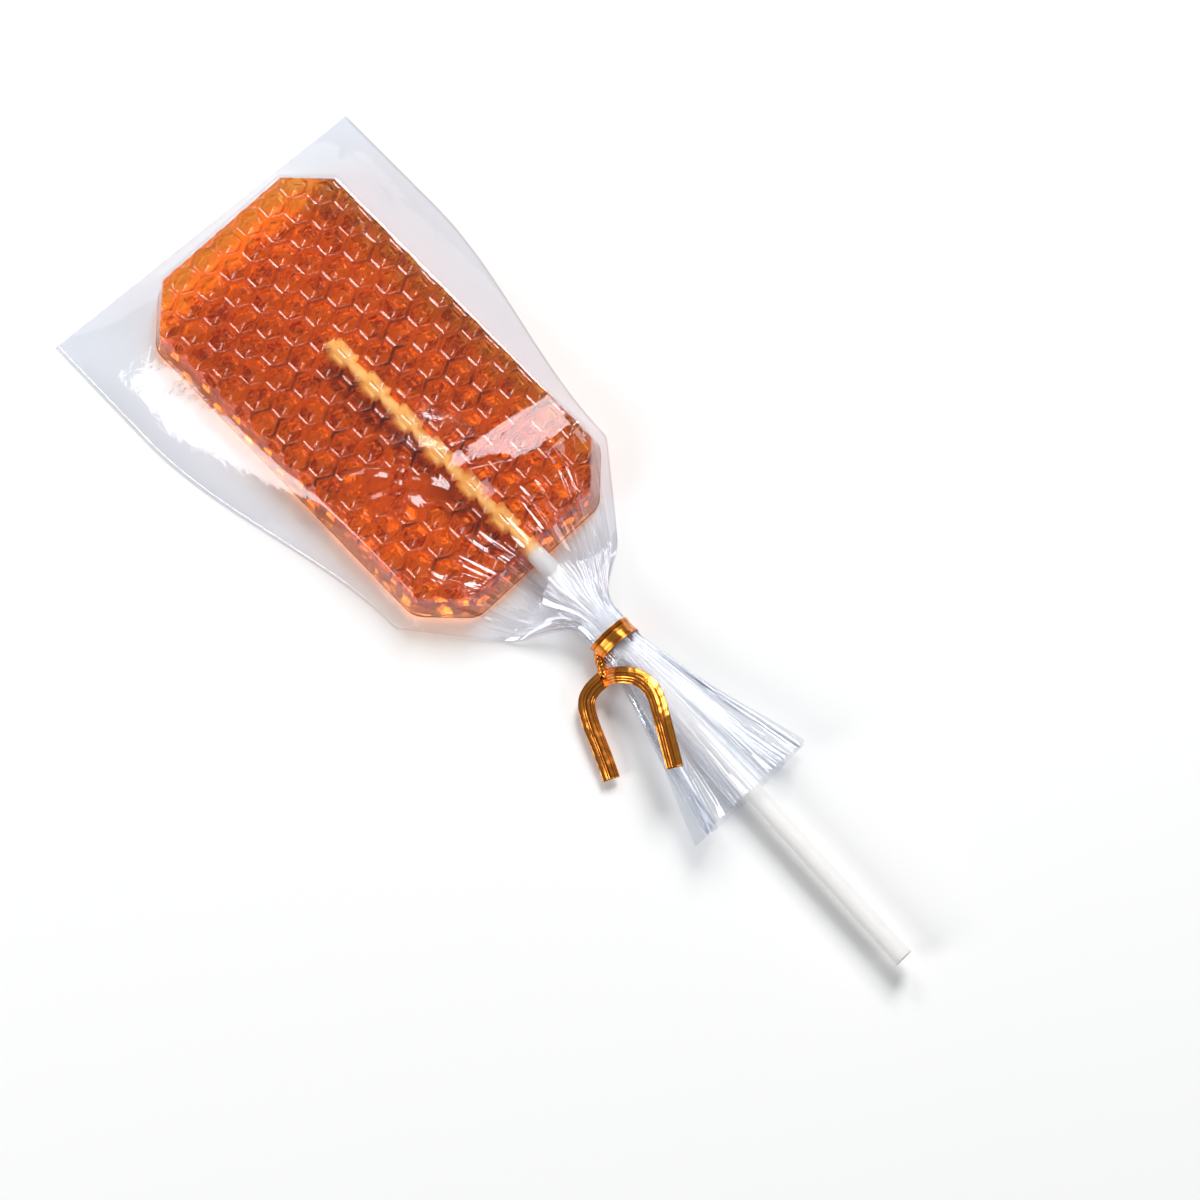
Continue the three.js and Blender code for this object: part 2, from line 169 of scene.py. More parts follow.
@dataclass
class Shell:
    """Points and faces of one surface, or of several put together, with named values at the points."""

    points: Array
    faces: list[list[int]]
    values: dict[str, Array] = field(default_factory=dict)

    def joined(self, other: "Shell") -> "Shell":
        """Puts another shell with this one.

        Args:
            other: A shell with the same named values.

        Returns:
            Both as one shell.
        """
        shift = len(self.points)
        moved = [[corner + shift for corner in face] for face in other.faces]
        values = {name: np.concatenate((value, other.values[name])) for name, value in self.values.items()}
        return Shell(np.vstack((self.points, other.points)), self.faces + moved, values)

    def piece(self, name: str, weld: bool = False) -> bpy.types.Object:
        """Makes the shell a smooth-shaded Blender object at the origin.

        Args:
            name: The piece's name.
            weld: Whether points at one place become one, which closes a seam.

        Returns:
            The object, linked to the scene.
        """
        mesh = bpy.data.meshes.new(name)
        mesh.from_pydata((self.points * MM).tolist(), [], self.faces)
        for label, value in self.values.items():
            mesh.attributes.new(label, "FLOAT", "POINT").data.foreach_set("value", value)
        if weld:
            shape = bmesh.new()
            shape.from_mesh(mesh)
            bmesh.ops.remove_doubles(shape, verts=shape.verts, dist=1e-7)
            shape.to_mesh(mesh)
            shape.free()
        mesh.validate()
        mesh.shade_smooth()
        thing = bpy.data.objects.new(name, mesh)
        bpy.context.scene.collection.objects.link(thing)
        return thing


def swept(rings: Array, closed_ends: bool = True) -> Shell:
    """A tube skinned over rings of points, with each end closed by a fan about its middle.

    Args:
        rings: Points as (ring, point of the ring, xyz). They run clockwise seen from past the last ring.
        closed_ends: Whether the ends are closed.

    Returns:
        The tube, with its faces outwards.
    """
    count, around = rings.shape[:2]
    faces = grid_quads(count, around, wraps=True)[:, ::-1].tolist()
    points = rings.reshape(-1, 3)
    if closed_ends:
        points = np.vstack((points, rings[0].mean(0), rings[-1].mean(0)))
        first = np.arange(around)
        last = first + (count - 1) * around
        low, high = count * around, count * around + 1
        faces += np.stack((np.full(around, low), first, np.roll(first, -1)), -1).tolist()
        faces += np.stack((np.full(around, high), np.roll(last, -1), last), -1).tolist()
    return Shell(points, faces)


def ride_root(piece: bpy.types.Object, material: bpy.types.Material, node: str) -> None:
    """Gives a piece its material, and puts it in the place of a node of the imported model.

    Args:
        piece: The new piece.
        material: Its finish.
        node: The node that it stands for.
    """
    piece.data.materials.append(material)
    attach(piece, "root")
    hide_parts(node)
    log.info("%s: %d faces, in the place of %s", piece.name, len(piece.data.polygons), node)


# Finishes


def linear(colour: str) -> tuple[float, float, float, float]:
    """Turns an sRGB colour to linear light: a straight foot, then a power of 2.4.

    Args:
        colour: A hash sign and six hex digits.

    Returns:
        Linear red, green and blue, and an alpha of 1.
    """
    channels = np.array([int(colour[i : i + 2], 16) for i in (1, 3, 5)]) / 255
    low, high = channels / 12.92, ((channels + 0.055) / 1.055) ** 2.4
    return (*np.where(channels <= 0.04045, low, high).tolist(), 1.0)


def add_node(
    tree: bpy.types.NodeTree, kind: str, settings: dict | None = None, **inputs: object
) -> bpy.types.Node:
    """Adds a shader node.

    Args:
        tree: The material's node tree.
        kind: The node's type, without the words ShaderNode.
        settings: The node's own properties.
        inputs: Sockets by name, with _ for a blank, or in0, in1 by number. A node or an output is
            linked, and anything else is set as the value.

    Returns:
        The new node.
    """
    node = tree.nodes.new("ShaderNode" + kind)
    for name, value in (settings or {}).items():
        setattr(node, name, value)
    for name, value in inputs.items():
        number = name.removeprefix("in")
        socket = node.inputs[int(number) if number.isdigit() else name.replace("_", " ")]
        if isinstance(value, bpy.types.Node):
            value = next(output for output in value.outputs if output.enabled)
        if isinstance(value, bpy.types.NodeSocket):
            tree.links.new(value, socket)
        else:
            socket.default_value = value
    return node


def new_material(name: str) -> tuple[bpy.types.Material, bpy.types.NodeTree]:
    """Makes a material with no nodes.

    Args:
        name: Its name, after the real material.

    Returns:
        The material and its node tree.
    """
    material = bpy.data.materials.new(name)
    material.use_nodes = True
    material.node_tree.nodes.clear()
    return material, material.node_tree


@dataclass(frozen=True)
class BoiledSugar:
    """Boiled honey and sugar, poured into a mould: clear, glossy and deep amber where it is thick."""

    tint: str = "#fffaf2"
    # Painted light and shade: the face is tinted between this dark tint and the pale one, in patches and by
    # facet
    painted_shade_tint: str = "#945634"
    # Painted shade: dark lines on the comb's slanted walls, the wings' edges and the side walls
    painted_line_shade: str = "#34140a"
    # Painted shade over most of the back, and painted light near the end away from the stick: what the back
    # lets through, by place along the sweet in mm
    back_painted_shade: tuple[tuple[float, str], ...] = (
        (-40.0, "#d2c6b0"), (-5.0, "#cabcac"), (35.8, "#c6b6a8"), (37.4, "#fffaf0"),
    )
    ior: float = 1.5
    roughness: float = 0.05
    # What a metre of it takes from red, green and blue
    absorption: tuple[float, float, float] = (5.0, 98.0, 300.0)
    grain_mm: float = 1.6
    grain_height_mm: float = 0.03
    painted_light_mm: float = 1.3
    painted_light_squeeze: tuple[float, float, float] = (0.6, 1.3, 1.0)  # the patches of painted light and shade lie across the sweet
    painted_light_range: tuple[float, float] = (0.36, 0.64)  # noise of the darkest and the lightest painted patches
    painted_tone_range: tuple[float, float] = (0.4, 1.3)  # painted patch and facet tone together, from dark to light
    back_range_mm: tuple[float, float] = (0.6, 1.6)  # heights between which the back's painted shade fades out

    def painted_back_ramp(self, tree: bpy.types.NodeTree, along: bpy.types.NodeSocket) -> bpy.types.Node:
        """Adds a ramp through the back's painted shade and light.

        Args:
            tree: The material's node tree.
            along: Place along the sweet, in metres.

        Returns:
            The ramp node.
        """
        span = 100.0  # more than the sweet's length, in mm
        share = add_node(tree, "MapRange", Value=along, From_Min=-span / 2 * MM, From_Max=span / 2 * MM)
        tints = add_node(tree, "ValToRGB", Fac=share)
        elements = tints.color_ramp.elements
        for number, (place, colour) in enumerate(self.back_painted_shade):
            at = place / span + 0.5
            element = elements[number] if number < 2 else elements.new(at)
            element.position = at
            element.color = linear(colour)
        return tints

    def material(self) -> bpy.types.Material:
        """Makes the sugar: clear, painted lighter and darker by facet and in patches, and deeper in colour
        with depth.

        Light from the lamps goes straight through it, dimmed by what the sugar takes.

        Returns:
            The material.
        """
        material, tree = new_material("boiled_sugar_amber")
        place = add_node(tree, "TexCoord").outputs["Object"]
        grain = add_node(tree, "TexNoise", Vector=place, Scale=1 / (self.grain_mm * MM), Detail=2.0)
        bump = add_node(tree, "Bump", Height=grain, Strength=0.25, Distance=self.grain_height_mm * MM)
        streaked = add_node(tree, "Mapping", Vector=place, Scale=self.painted_light_squeeze)
        # Painted light and shade: noise patches and each facet's painted tone set how dark the face is tinted
        painted_light_noise = add_node(
            tree, "TexNoise", Vector=streaked, Scale=1 / (self.painted_light_mm * MM), Detail=3.0, Distortion=1.2
        )
        painted_tone = add_node(tree, "Attribute", {"attribute_name": PAINTED_TONE}).outputs["Fac"]
        low, high = self.painted_light_range
        patch = add_node(tree, "MapRange", Value=painted_light_noise, From_Min=low, From_Max=high)
        shade = add_node(tree, "Math", {"operation": "ADD"}, in0=patch, in1=painted_tone)
        low, high = self.painted_tone_range
        light = add_node(tree, "MapRange", Value=shade, From_Min=low, From_Max=high)
        dark, pale = linear(self.painted_shade_tint), linear(self.tint)
        painted_light_mix = add_node(tree, "Mix", COLOURS, Factor=light, in6=dark, in7=pale)
        # Painted shade: dark lines on the walls, over the patches
        crease = add_node(tree, "Attribute", {"attribute_name": PAINTED_SHADE}).outputs["Fac"]
        face = add_node(tree, "Mix", COLOURS, Factor=crease, in6=painted_light_mix, in7=linear(self.painted_line_shade))
        axes = add_node(tree, "SeparateXYZ", Vector=place).outputs
        low, high = self.back_range_mm
        above = add_node(tree, "MapRange", Value=axes["Z"], From_Min=low * MM, From_Max=high * MM)
        # Painted shade on the back, and painted light near its far end
        back = self.painted_back_ramp(tree, axes["Y"])
        tint = add_node(tree, "Mix", COLOURS, Factor=above, in6=back, in7=face)
        sugar = add_node(
            tree,
            "BsdfPrincipled",
            Base_Color=tint,
            Roughness=self.roughness,
            IOR=self.ior,
            Transmission_Weight=1.0,
            Normal=bump,
        )
        clear = add_node(tree, "BsdfTransparent", Color=tint)
        lamps = add_node(tree, "LightPath").outputs["Is Shadow Ray"]
        surface = add_node(tree, "MixShader", in0=lamps, in1=sugar, in2=clear)
        density = max(self.absorption)
        left = [1 - share / density for share in self.absorption]
        depth = add_node(tree, "VolumeAbsorption", Color=(*left, 1.0), Density=density)
        add_node(tree, "OutputMaterial", Surface=surface, Volume=depth)
        return material


@dataclass(frozen=True)
class RolledPaper:
    """White paper rolled tight into a stick: matt, with faint fibres along it."""

    colour: str = "#f5f4f2"
    shade: str = "#e8e6e3"
    roughness: float = 0.62
    fibre_mm: float = 0.35  # coarser than real fibres, so that they show
    fibre_height_mm: float = 0.05
    fibre_squeeze: tuple[float, float, float] = (1.0, 0.12, 1.0)  # long fibres, along the stick

    def material(self) -> bpy.types.Material:
        """Makes the paper: two whites in streaks along the stick, and a fine bump.

        Returns:
            The material.
        """
        material, tree = new_material("rolled_paper_white")
        place = add_node(tree, "TexCoord").outputs["Object"]
        along = add_node(tree, "Mapping", Vector=place, Scale=self.fibre_squeeze)
        fibre = add_node(tree, "TexNoise", Vector=along, Scale=1 / (self.fibre_mm * MM), Detail=3.0)
        dark, pale = linear(self.shade), linear(self.colour)
        streak = add_node(tree, "Mix", COLOURS, Factor=fibre, in6=dark, in7=pale)
        bump = add_node(tree, "Bump", Height=fibre, Strength=0.3, Distance=self.fibre_height_mm * MM)
        paper = add_node(tree, "BsdfPrincipled", Base_Color=streak, Roughness=self.roughness, Normal=bump)
        add_node(tree, "OutputMaterial", Surface=paper)
        return material


@dataclass(frozen=True)
class ClearFilm:
    """Thin clear polypropylene film: nearly invisible face on, with sharp white glare where it bends."""

    through: str = "#fafbfd"
    glare: str = "#f6f8ff"
    face_on: float = 0.06  # share of light thrown back by film seen face on
    edge_on: float = 0.75  # and by film seen edge on
    roughness: float = 0.08
    crinkle_mm: float = 2.2
    crinkle_height_mm: float = 0.12
    turn_power: float = 4.0  # how late the gloss grows as the film turns aside

    def material(self) -> bpy.types.Material:
        """Makes the film: see-through, with a mirror-like gloss that grows as the film turns aside.

        Returns:
            The material.
        """
        material, tree = new_material("polypropylene_film_clear")
        place = add_node(tree, "TexCoord").outputs["Object"]
        crinkle = add_node(
            tree, "TexNoise", Vector=place, Scale=1 / (self.crinkle_mm * MM), Detail=3.0, Distortion=0.6
        )
        bump = add_node(tree, "Bump", Height=crinkle, Strength=0.35, Distance=self.crinkle_height_mm * MM)
        gloss = add_node(
            tree,
            "BsdfPrincipled",
            Base_Color=linear(self.glare),
            Metallic=1.0,
            Roughness=self.roughness,
            Normal=bump,
        )
        clear = add_node(tree, "BsdfTransparent", Color=linear(self.through))
        aside = add_node(tree, "LayerWeight", Blend=0.5, Normal=bump).outputs["Facing"]
        grazing = add_node(tree, "Math", {"operation": "POWER"}, in0=aside, in1=self.turn_power)
        share = add_node(tree, "MapRange", Value=grazing, To_Min=self.face_on, To_Max=self.edge_on)
        layers = add_node(tree, "Attribute", {"attribute_name": LAYERS}).outputs["Fac"]
        thrown = add_node(tree, "Math", {"operation": "MULTIPLY", "use_clamp": True}, in0=share, in1=layers)
        surface = add_node(tree, "MixShader", in0=thrown, in1=clear, in2=gloss)
        add_node(tree, "OutputMaterial", Surface=surface)
        return material


@dataclass(frozen=True)
class GoldFoil:
    """Gold-lacquered foil over paper: a bright metal, creased along and across."""

    # Bright gold on each ridge's top and darker gold at its foot: painted highlight and painted shade along
    # the streaks
    colour: str = "#ffa74a"
    shade: str = "#c86620"
    roughness: float = 0.25
    streak_mm: float = 0.45
    ridge_range: tuple[float, float] = (0.35, 0.6)  # noise at a ridge's foot and at its top
    ridge_height_mm: float = 0.06

    def material(self) -> bpy.types.Material:
        """Makes the foil: streaks along it, which are also low ridges, painted bright gold on top and darker
        gold at their feet as painted highlight and shade.

        Returns:
            The material.
        """
        material, tree = new_material("gold_lacquered_foil")
        across = add_node(tree, "Attribute", {"attribute_name": STREAK}).outputs["Fac"]
        one_way = {"noise_dimensions": "1D"}
        streak = add_node(tree, "TexNoise", one_way, W=across, Scale=1 / self.streak_mm, Detail=1.0)
        low, high = self.ridge_range
        ridge = add_node(tree, "MapRange", Value=streak, From_Min=low, From_Max=high)
        dark, bright = linear(self.shade), linear(self.colour)
        # Painted highlight and painted shade: the two golds by ridge height
        patch = add_node(tree, "Mix", COLOURS, Factor=ridge, in6=dark, in7=bright)
        bump = add_node(tree, "Bump", Height=ridge, Strength=0.5, Distance=self.ridge_height_mm * MM)
        foil = add_node(
            tree,
            "BsdfPrincipled",
            Base_Color=patch,
            Metallic=1.0,
            Roughness=self.roughness,
            Normal=bump,
        )
        add_node(tree, "OutputMaterial", Surface=foil)
        return material


@dataclass(frozen=True)
class WhiteCard:
    """Matt white card to lay the sweet on: even, with hardly any gloss."""

    colour: str = "#f6f6f5"
    roughness: float = 0.9
    gloss: float = 0.1

    def material(self) -> bpy.types.Material:
        """Makes the card, in one plain colour.

        Returns:
            The material.
        """
        material, tree = new_material("white_card")
        card = add_node(
            tree,
            "BsdfPrincipled",
            Base_Color=linear(self.colour),
            Roughness=self.roughness,
            Specular_IOR_Level=self.gloss,
        )
        add_node(tree, "OutputMaterial", Surface=card)
        return material


# The lollipop's parts


@dataclass(frozen=True)
class Comb:
    """The moulded comb: round-topped walls about cells with floors of three facets."""

    pitch: float = 5.4
    squash: float = 0.917  # along the sweet, cells are this much shorter than regular hexagons
    at: tuple[float, float] = (1.8, -0.5)  # middle of one cell
    wall: float = 0.55  # half width of a wall
    crown: float = 0.092  # how far a wall's top is rounded down at its sides
    flank: float = 0.35  # width of a wall's side
    depth: float = 1.8
    rise: float = 0.45
    wall_painted_tone: float = 0.85
    painted_tone_edge: tuple[float, float] = (0.35, 0.75)  # from the rim, where a wall's painted tone gives way to a facet's
    line_edge: tuple[float, float] = (0.12, 0.6)  # and where a wall's painted shade line fades out
    scatter: tuple[float, ...] = (12.99, 78.23, 37.72, 4375.85)  # unlike numbers, for uneven painted tones

    def cells(self, x: Array, y: Array) -> tuple[Array, Array]:
        """The nearest cell's middle, and places measured from it, as if the cells weren't squashed.

        The cells' middles lie on two oblong lattices, of which the nearer counts.

        Args:
            x: Places across, in millimetres.
            y: Places along, in millimetres.

        Returns:
            The middles, and the places in the cells, both with across and along on the last axis.
        """
        period = np.array((self.pitch, self.pitch * math.sqrt(3)))
        place = np.stack((x - self.at[0], (y - self.at[1]) / self.squash), -1)
        near = period * np.round(place / period)
        far = period * (np.round(place / period - 0.5) + 0.5)
        is_near = ((place - near) ** 2).sum(-1) < ((place - far) ** 2).sum(-1)
        middle = np.where(is_near[..., None], near, far)
        return middle, place - middle

    def rims(self, place: Array) -> tuple[Array, Array]:
        """How far places in a cell are from its walls along the sweet, and from its slanted walls.

        The hexagon's measures are |x| and |x| / 2 + |y| sqrt(3) / 2, and both are half the pitch on its rim.

        Args:
            place: Places in the cells, with across and along on the last axis.

        Returns:
            The two distances, in millimetres.
        """
        across, along = np.abs(place[..., 0]), np.abs(place[..., 1])
        return self.pitch / 2 - across, self.pitch / 2 - across / 2 - along * math.sqrt(3) / 2

    def facets(self, place: Array) -> Array:
        """Distances from a cell's middle towards 30, 150 and 270 degrees, on a new first axis."""
        angles = np.radians((30, 150, 270))
        return np.stack([place @ np.array((math.cos(angle), math.sin(angle))) for angle in angles])

    def relief(self, x: Array, y: Array) -> Array:
        """How deep the comb lies under its walls.

        A wall's top falls as the square of the distance from its middle, a smooth step goes down its
        side, and the floor's three facets rise from the cell's middle to its rim.

        Args:
            x: Places across, in millimetres.
            y: Places along, in millimetres.

        Returns:
            Depths, in millimetres.
        """
        _, place = self.cells(x, y)
        rim = np.minimum(*self.rims(place))
        floor = self.depth - self.rise * self.facets(place).max(0)
        crown = self.crown * np.clip(rim / self.wall, 0, 1) ** 2
        return crown + (floor - self.crown) * smoothstep(rim, self.wall, self.wall + self.flank)

    def painted_tones(self, x: Array, y: Array) -> Array:
        """Painted light and shade: how light each facet of a floor is painted, from 0 to 1, with lighter
        walls between them.

        A facet's painted tone is the fraction of a large multiple of the sine of its cell's place and its
        number.

        Args:
            x: Places across, in millimetres.
            y: Places along, in millimetres.

        Returns:
            The painted tones.
        """
        middle, place = self.cells(x, y)
        number = self.facets(place).argmax(0)
        by_x, by_y, by_number, large = self.scatter
        drawn = np.sin(by_x * middle[..., 0] + by_y * middle[..., 1] + by_number * number) * large % 1
        rim = np.minimum(*self.rims(place))
        return blend(self.wall_painted_tone, drawn, smoothstep(rim, *self.painted_tone_edge))

    def lines(self, x: Array, y: Array) -> Array:
        """Where painted shade lines go: 1 on the middle of the walls that run slantwise, down to 0 beside
        them.
        """
        _, place = self.cells(x, y)
        return 1 - smoothstep(self.rims(place)[1], *self.line_edge)


@dataclass(frozen=True)
class Bee:
    """A bee moulded on the comb, with a ringed body and two pairs of veined wings."""

    x: float = -10.6
    y: float = -17.8
    heading: float = 51.0  # degrees from +Y towards +X
    proud: float = 1.0
    flatness: float = 0.62
    # Middle along the body, and radius: head, thorax and the rings of the abdomen
    body: tuple[tuple[float, float], ...] = (
        (5.6, 1.5), (2.9, 2.1), (0.5, 2.2), (-1.27, 2.11), (-3.03, 1.84), (-4.8, 1.4),
    )
    # Root along the body, backward sweep in degrees, length and width
    wings: tuple[tuple[float, float, float, float], ...] = ((2.5, 12.0, 10.0, 5.2), (0.5, 45.0, 7.0, 4.4))
    wing_start: float = 1.0
    wing_proud: float = 0.3
    wing_depth: float = 0.9
    vein: float = 0.06
    veins: int = 7
    nowhere: float = -9.0  # height given where there is no bee

    def height(self, x: Array, y: Array) -> Array:
        """How high the bee stands above the comb's walls, and far below them where it isn't.

        Each part of the body is a cap, f sqrt(r^2 - d^2), and each wing the upper half of an ellipsoid,
        with veins that are a cosine of the angle about its root.

        Args:
            x: Places across, in millimetres.
            y: Places along, in millimetres.

        Returns:
            Heights, in millimetres.
        """
        turn = math.radians(self.heading)
        dx, dy = x - self.x, y - self.y
        along = dx * math.sin(turn) + dy * math.cos(turn)
        across = dx * math.cos(turn) - dy * math.sin(turn)
        low = np.full(x.shape, self.nowhere)
        top = low
        base = self.proud - max(radius for _, radius in self.body) * self.flatness
        for middle, radius in self.body:
            inside = radius**2 - (along - middle) ** 2 - across**2
            cap = base + self.flatness * np.sqrt(np.maximum(inside, 0))
            top = np.maximum(top, np.where(inside > 0, cap, low))
        for root, sweep, length, width in self.wings:
            lean = math.radians(sweep)
            reach = (np.abs(across) * math.cos(lean) - (along - root) * math.sin(lean)) - self.wing_start
            side = np.abs(across) * math.sin(lean) + (along - root) * math.cos(lean)
            inside = 1 - ((reach - length / 2) / (length / 2)) ** 2 - (side / (width / 2)) ** 2
            veins = self.vein * np.cos(self.veins * np.arctan2(side, np.maximum(reach, 0.1) + 1.5))
            swell = self.wing_depth * np.sqrt(np.maximum(inside, 0))
            dome = self.wing_proud - self.wing_depth + swell + veins
            top = np.maximum(top, np.where(inside > 0, dome, low))
        return top


@dataclass(frozen=True)
class Sweet:
    """The flat oblong sweet, with cut corners and a comb and a bee moulded on its face."""

    length: float = 86.6
    width: float = 47.0
    thickness: float = 9.0
    corner_cut: float = 8.3
    corner_round: float = 1.7
    draft: float = 2.05
    back_round: float = 0.6
    face_round: float = 1.2
    back: float = 0.5  # height of its back above the surface
    rim: float = 1.45  # how far inside the widest outline the face's grid ends and the walls begin
    wall_painted_shade: float = 0.5  # painted shade on the side walls, for the light that they turn away
    # Height, wavelength and draw of the ripples that the pour leaves
    pour: tuple[tuple[float, float, int], ...] = ((0.03, 9.0, 3), (0.012, 3.2, 4))
    bee_join: float = 0.08  # how soft the crease between the bee and the comb is
    # Places either side of a cell wall's middle at which the face has columns
    wall_columns: tuple[float, ...] = (
        -1.0, -0.72, -0.56, -0.52, -0.4, 0, 0.4, 0.52, 0.56, 0.72, 1.0, 1.35,
    )
    edge_band: float = 1.65  # width of the close columns at each side of the face
    rows: int = 400
    # Where the stick shows through the face, which is painted fully light there, without painted shade lines:
    # its middle, and where its sides and its end fade out
    stick_x: float = -0.4
    stick_half: tuple[float, float] = (1.4, 2.2)
    stick_end: tuple[float, float] = (11.4, 12.4)
    stick_painted_tone: float = 1.3
    line_patch: tuple[float, int] = (9.0, 21)  # size and draw of the patches where painted shade lines show
    line_range: tuple[float, float] = (-0.6, 0.9)  # ripples between which they come up
    line_dark: tuple[float, float] = (0.95, 0.4)  # near the stick's end and at the far end
    line_fade: tuple[float, float] = (0.0, 30.0)
    # painted shade on the wings' edges
    wing_line: float = 0.55
    bee_shade: float = 0.7
    far_painted_light: tuple[float, float] = (8.0, 7.0)  # from the far end, where the band of painted light there begins
    comb: Comb = field(default_factory=Comb)
    bee: Bee = field(default_factory=Bee)

    @property
    def end(self) -> float:
        """Distance from the middle to either end."""
        return self.length / 2

    @property
    def face(self) -> float:
        """Height of the comb's walls."""
        return self.back + self.thickness

    def outline(self, a: Array, b: Array, inset: float) -> tuple[Array, Array]:
        """Places on the sweet's outline drawn in by an inset, for a and b from -1 to 1 across and along it.

        Args:
            a: Share of the half width.
            b: Share of the half length.
            inset: How far the outline is drawn in, in millimetres.

        Returns:
            x and y, in millimetres.
        """
        half_width, half_length = self.width / 2 - inset, self.length / 2 - inset
        cut = self.corner_cut - inset * (2 - math.sqrt(2))
        y = b * half_length
        x = a * (half_width - ramp(np.abs(y) - half_length + cut, self.corner_round))
        end_corner = ramp(-np.abs(np.abs(x) - half_width + cut), self.corner_round)
        return x, y - np.sign(b) * np.abs(b) ** 24 * end_corner

    def inside(self, x: Array, y: Array) -> Array:
        """How far a place is inside the sweet's widest outline; below 0 outside it."""
        across, along = self.width / 2 - np.abs(x), self.length / 2 - np.abs(y)
        return np.minimum(np.minimum(across, along), (across + along - self.corner_cut) / math.sqrt(2))

    def block(self, x: Array, y: Array) -> Array:
        """Height of the unmoulded sweet: sloping walls, and a quarter round between them and a flat face.

        Args:
            x: Places across, in millimetres.
            y: Places along, in millimetres.

        Returns:
            Heights, in millimetres.
        """
        inset = self.inside(x, y)
        shoulder = self.thickness - self.face_round
        start = self.draft * shoulder / self.thickness
        past = np.clip(inset - start, 0, self.face_round)
        rounded = shoulder + np.sqrt(self.face_round**2 - (self.face_round - past) ** 2)
        return self.back + np.where(inset < start, inset * self.thickness / self.draft, rounded)

    def top(self, x: Array, y: Array) -> Array:
        """Height of the moulded face: the block sunk by the comb, with ripples of the pour, and the bee.

        Args:
            x: Places across, in millimetres.
            y: Places along, in millimetres.

        Returns:
            Heights, in millimetres.
        """
        wavy = np.minimum(self.block(x, y), self.face - self.comb.relief(x, y))
        for height, wavelength, seed in self.pour:
            wavy = wavy + height * ripples(x, y, wavelength, seed)
        return soft_max(wavy, self.face + self.bee.height(x, y), self.bee_join)

    def columns(self) -> Array:
        """Where the face's columns run: close on the cell walls along the sweet, and at its sides.

        Returns:
            Shares of the half width, from -1 to 1.
        """
        half_width = self.width / 2 - self.rim
        walls = self.comb.at[0] + self.comb.pitch / 2 * np.arange(-12, 13)
        inner = (walls[:, None] + np.array(self.wall_columns)).ravel()
        edge = half_width - np.linspace(0, self.edge_band, 12)
        inner = inner[np.abs(inner) < edge[-1] - 0.08]
        return np.concatenate((-edge, inner, edge[::-1])) / half_width

    def off_bee(self, x: Array, y: Array) -> Array:
        """1 on the comb and 0 on the bee."""
        return 1 - smoothstep(self.bee.height(x, y), -1.5, -0.5)

    def over_stick(self, x: Array, y: Array) -> Array:
        """1 where the stick's pale paper shows through the face, and 0 beside it."""
        beside = smoothstep(np.abs(x - self.stick_x), *self.stick_half)
        return (1 - beside) * (1 - smoothstep(y, *self.stick_end))

    def painted_shade_lines(self, x: Array, y: Array) -> Array:
        """Painted shade: how dark the comb's slanted walls are painted, in patches, and the wings' edges.

        Args:
            x: Places across, in millimetres.
            y: Places along, in millimetres.

        Returns:
            Painted shade, from 0 to 1.
        """
        patches = smoothstep(ripples(x, y, *self.line_patch), *self.line_range)
        patches *= blend(*self.line_dark, smoothstep(y, *self.line_fade))
        walls = self.comb.lines(x, y) * patches * (1 - self.over_stick(x, y))
        edges = self.wing_line * (1 - smoothstep(self.bee.height(x, y), -0.5, -0.05))
        return blend(edges, walls, self.off_bee(x, y))

    def painted_tones(self, x: Array, y: Array) -> Array:
        """Painted light and shade on the face: the comb's painted tones, a bee painted dark with light wings,
        and painted light at the far end and over the stick.

        Args:
            x: Places across, in millimetres.
            y: Places along, in millimetres.

        Returns:
            Painted tones: 0 is dark, 1 light, and more over the stick.
        """
        start, full = (self.end - place for place in self.far_painted_light)
        far = blend(self.comb.painted_tones(x, y), 1.0, smoothstep(y, start, full))
        bee = 1 - self.bee_shade * smoothstep(self.bee.height(x, y), 0.4, 0.75)
        return blend(blend(bee, far, self.off_bee(x, y)), self.stick_painted_tone, self.over_stick(x, y))

    def shell(self) -> Shell:
        """A fine grid for the face, rings down the walls from its rim, and one flat face below.

        Returns:
            The closed sweet, with its painted shade lines and its painted tones.
        """
        a, b = self.columns(), np.linspace(-1, 1, self.rows)
        rows, columns = len(b), len(a)
        x, y = self.outline(*np.meshgrid(a, b), self.rim)
        height = self.top(x, y)
        face = np.stack((x, y, height), -1).reshape(-1, 3)
        number = np.arange(rows * columns).reshape(rows, columns)
        border = np.concatenate((number[0, :-1], number[:-1, -1], number[-1, :0:-1], number[:0:-1, 0]))
        border_a, border_b = a[border % columns], b[border // columns]
        slope = self.thickness / self.draft
        # How far in and how far up each ring lies: down the wall, and round the edge of the back
        steps = [(self.rim * share, self.rim * share * slope) for share in (0.8, 0.6, 0.4, 0.25)]
        steps += [(0.18, 0.78), (0.06, 0.5), (0.0, 0.35), (0.08, 0.18), (0.25, 0.06)]
        steps += [(self.back_round, 0.0), (1.0, 0.0)]
        walls = []
        for inset, z in steps:
            wall_x, wall_y = self.outline(border_a, border_b, inset)
            walls.append(np.stack((wall_x, wall_y, np.full(wall_x.shape, self.back + z)), -1))
        first = np.arange(len(border)) + len(face)
        rings = np.vstack((border, *(first + len(border) * i for i in range(len(steps)))))
        after = np.roll(rings, -1, axis=1)
        sides = np.stack((rings[:-1], rings[1:], after[1:], after[:-1]), -1).reshape(-1, 4)
        faces = grid_quads(rows, columns).tolist() + sides.tolist() + [rings[-1, ::-1].tolist()]
        on_walls = np.ones(len(border) * len(steps))
        # Painted shade: the lines on the face, and half shade on the side walls, which get a fully light
        # painted tone
        crease = np.concatenate((self.painted_shade_lines(x, y).ravel(), self.wall_painted_shade * on_walls))
        painted_tone = np.concatenate((self.painted_tones(x, y).ravel(), on_walls))
        return Shell(np.vstack((face, *walls)), faces, {PAINTED_SHADE: crease, PAINTED_TONE: painted_tone})

    def build(self) -> None:
        """Makes the sweet."""
        ride_root(self.shell().piece("amber_sweet"), BoiledSugar().material(), "candy")


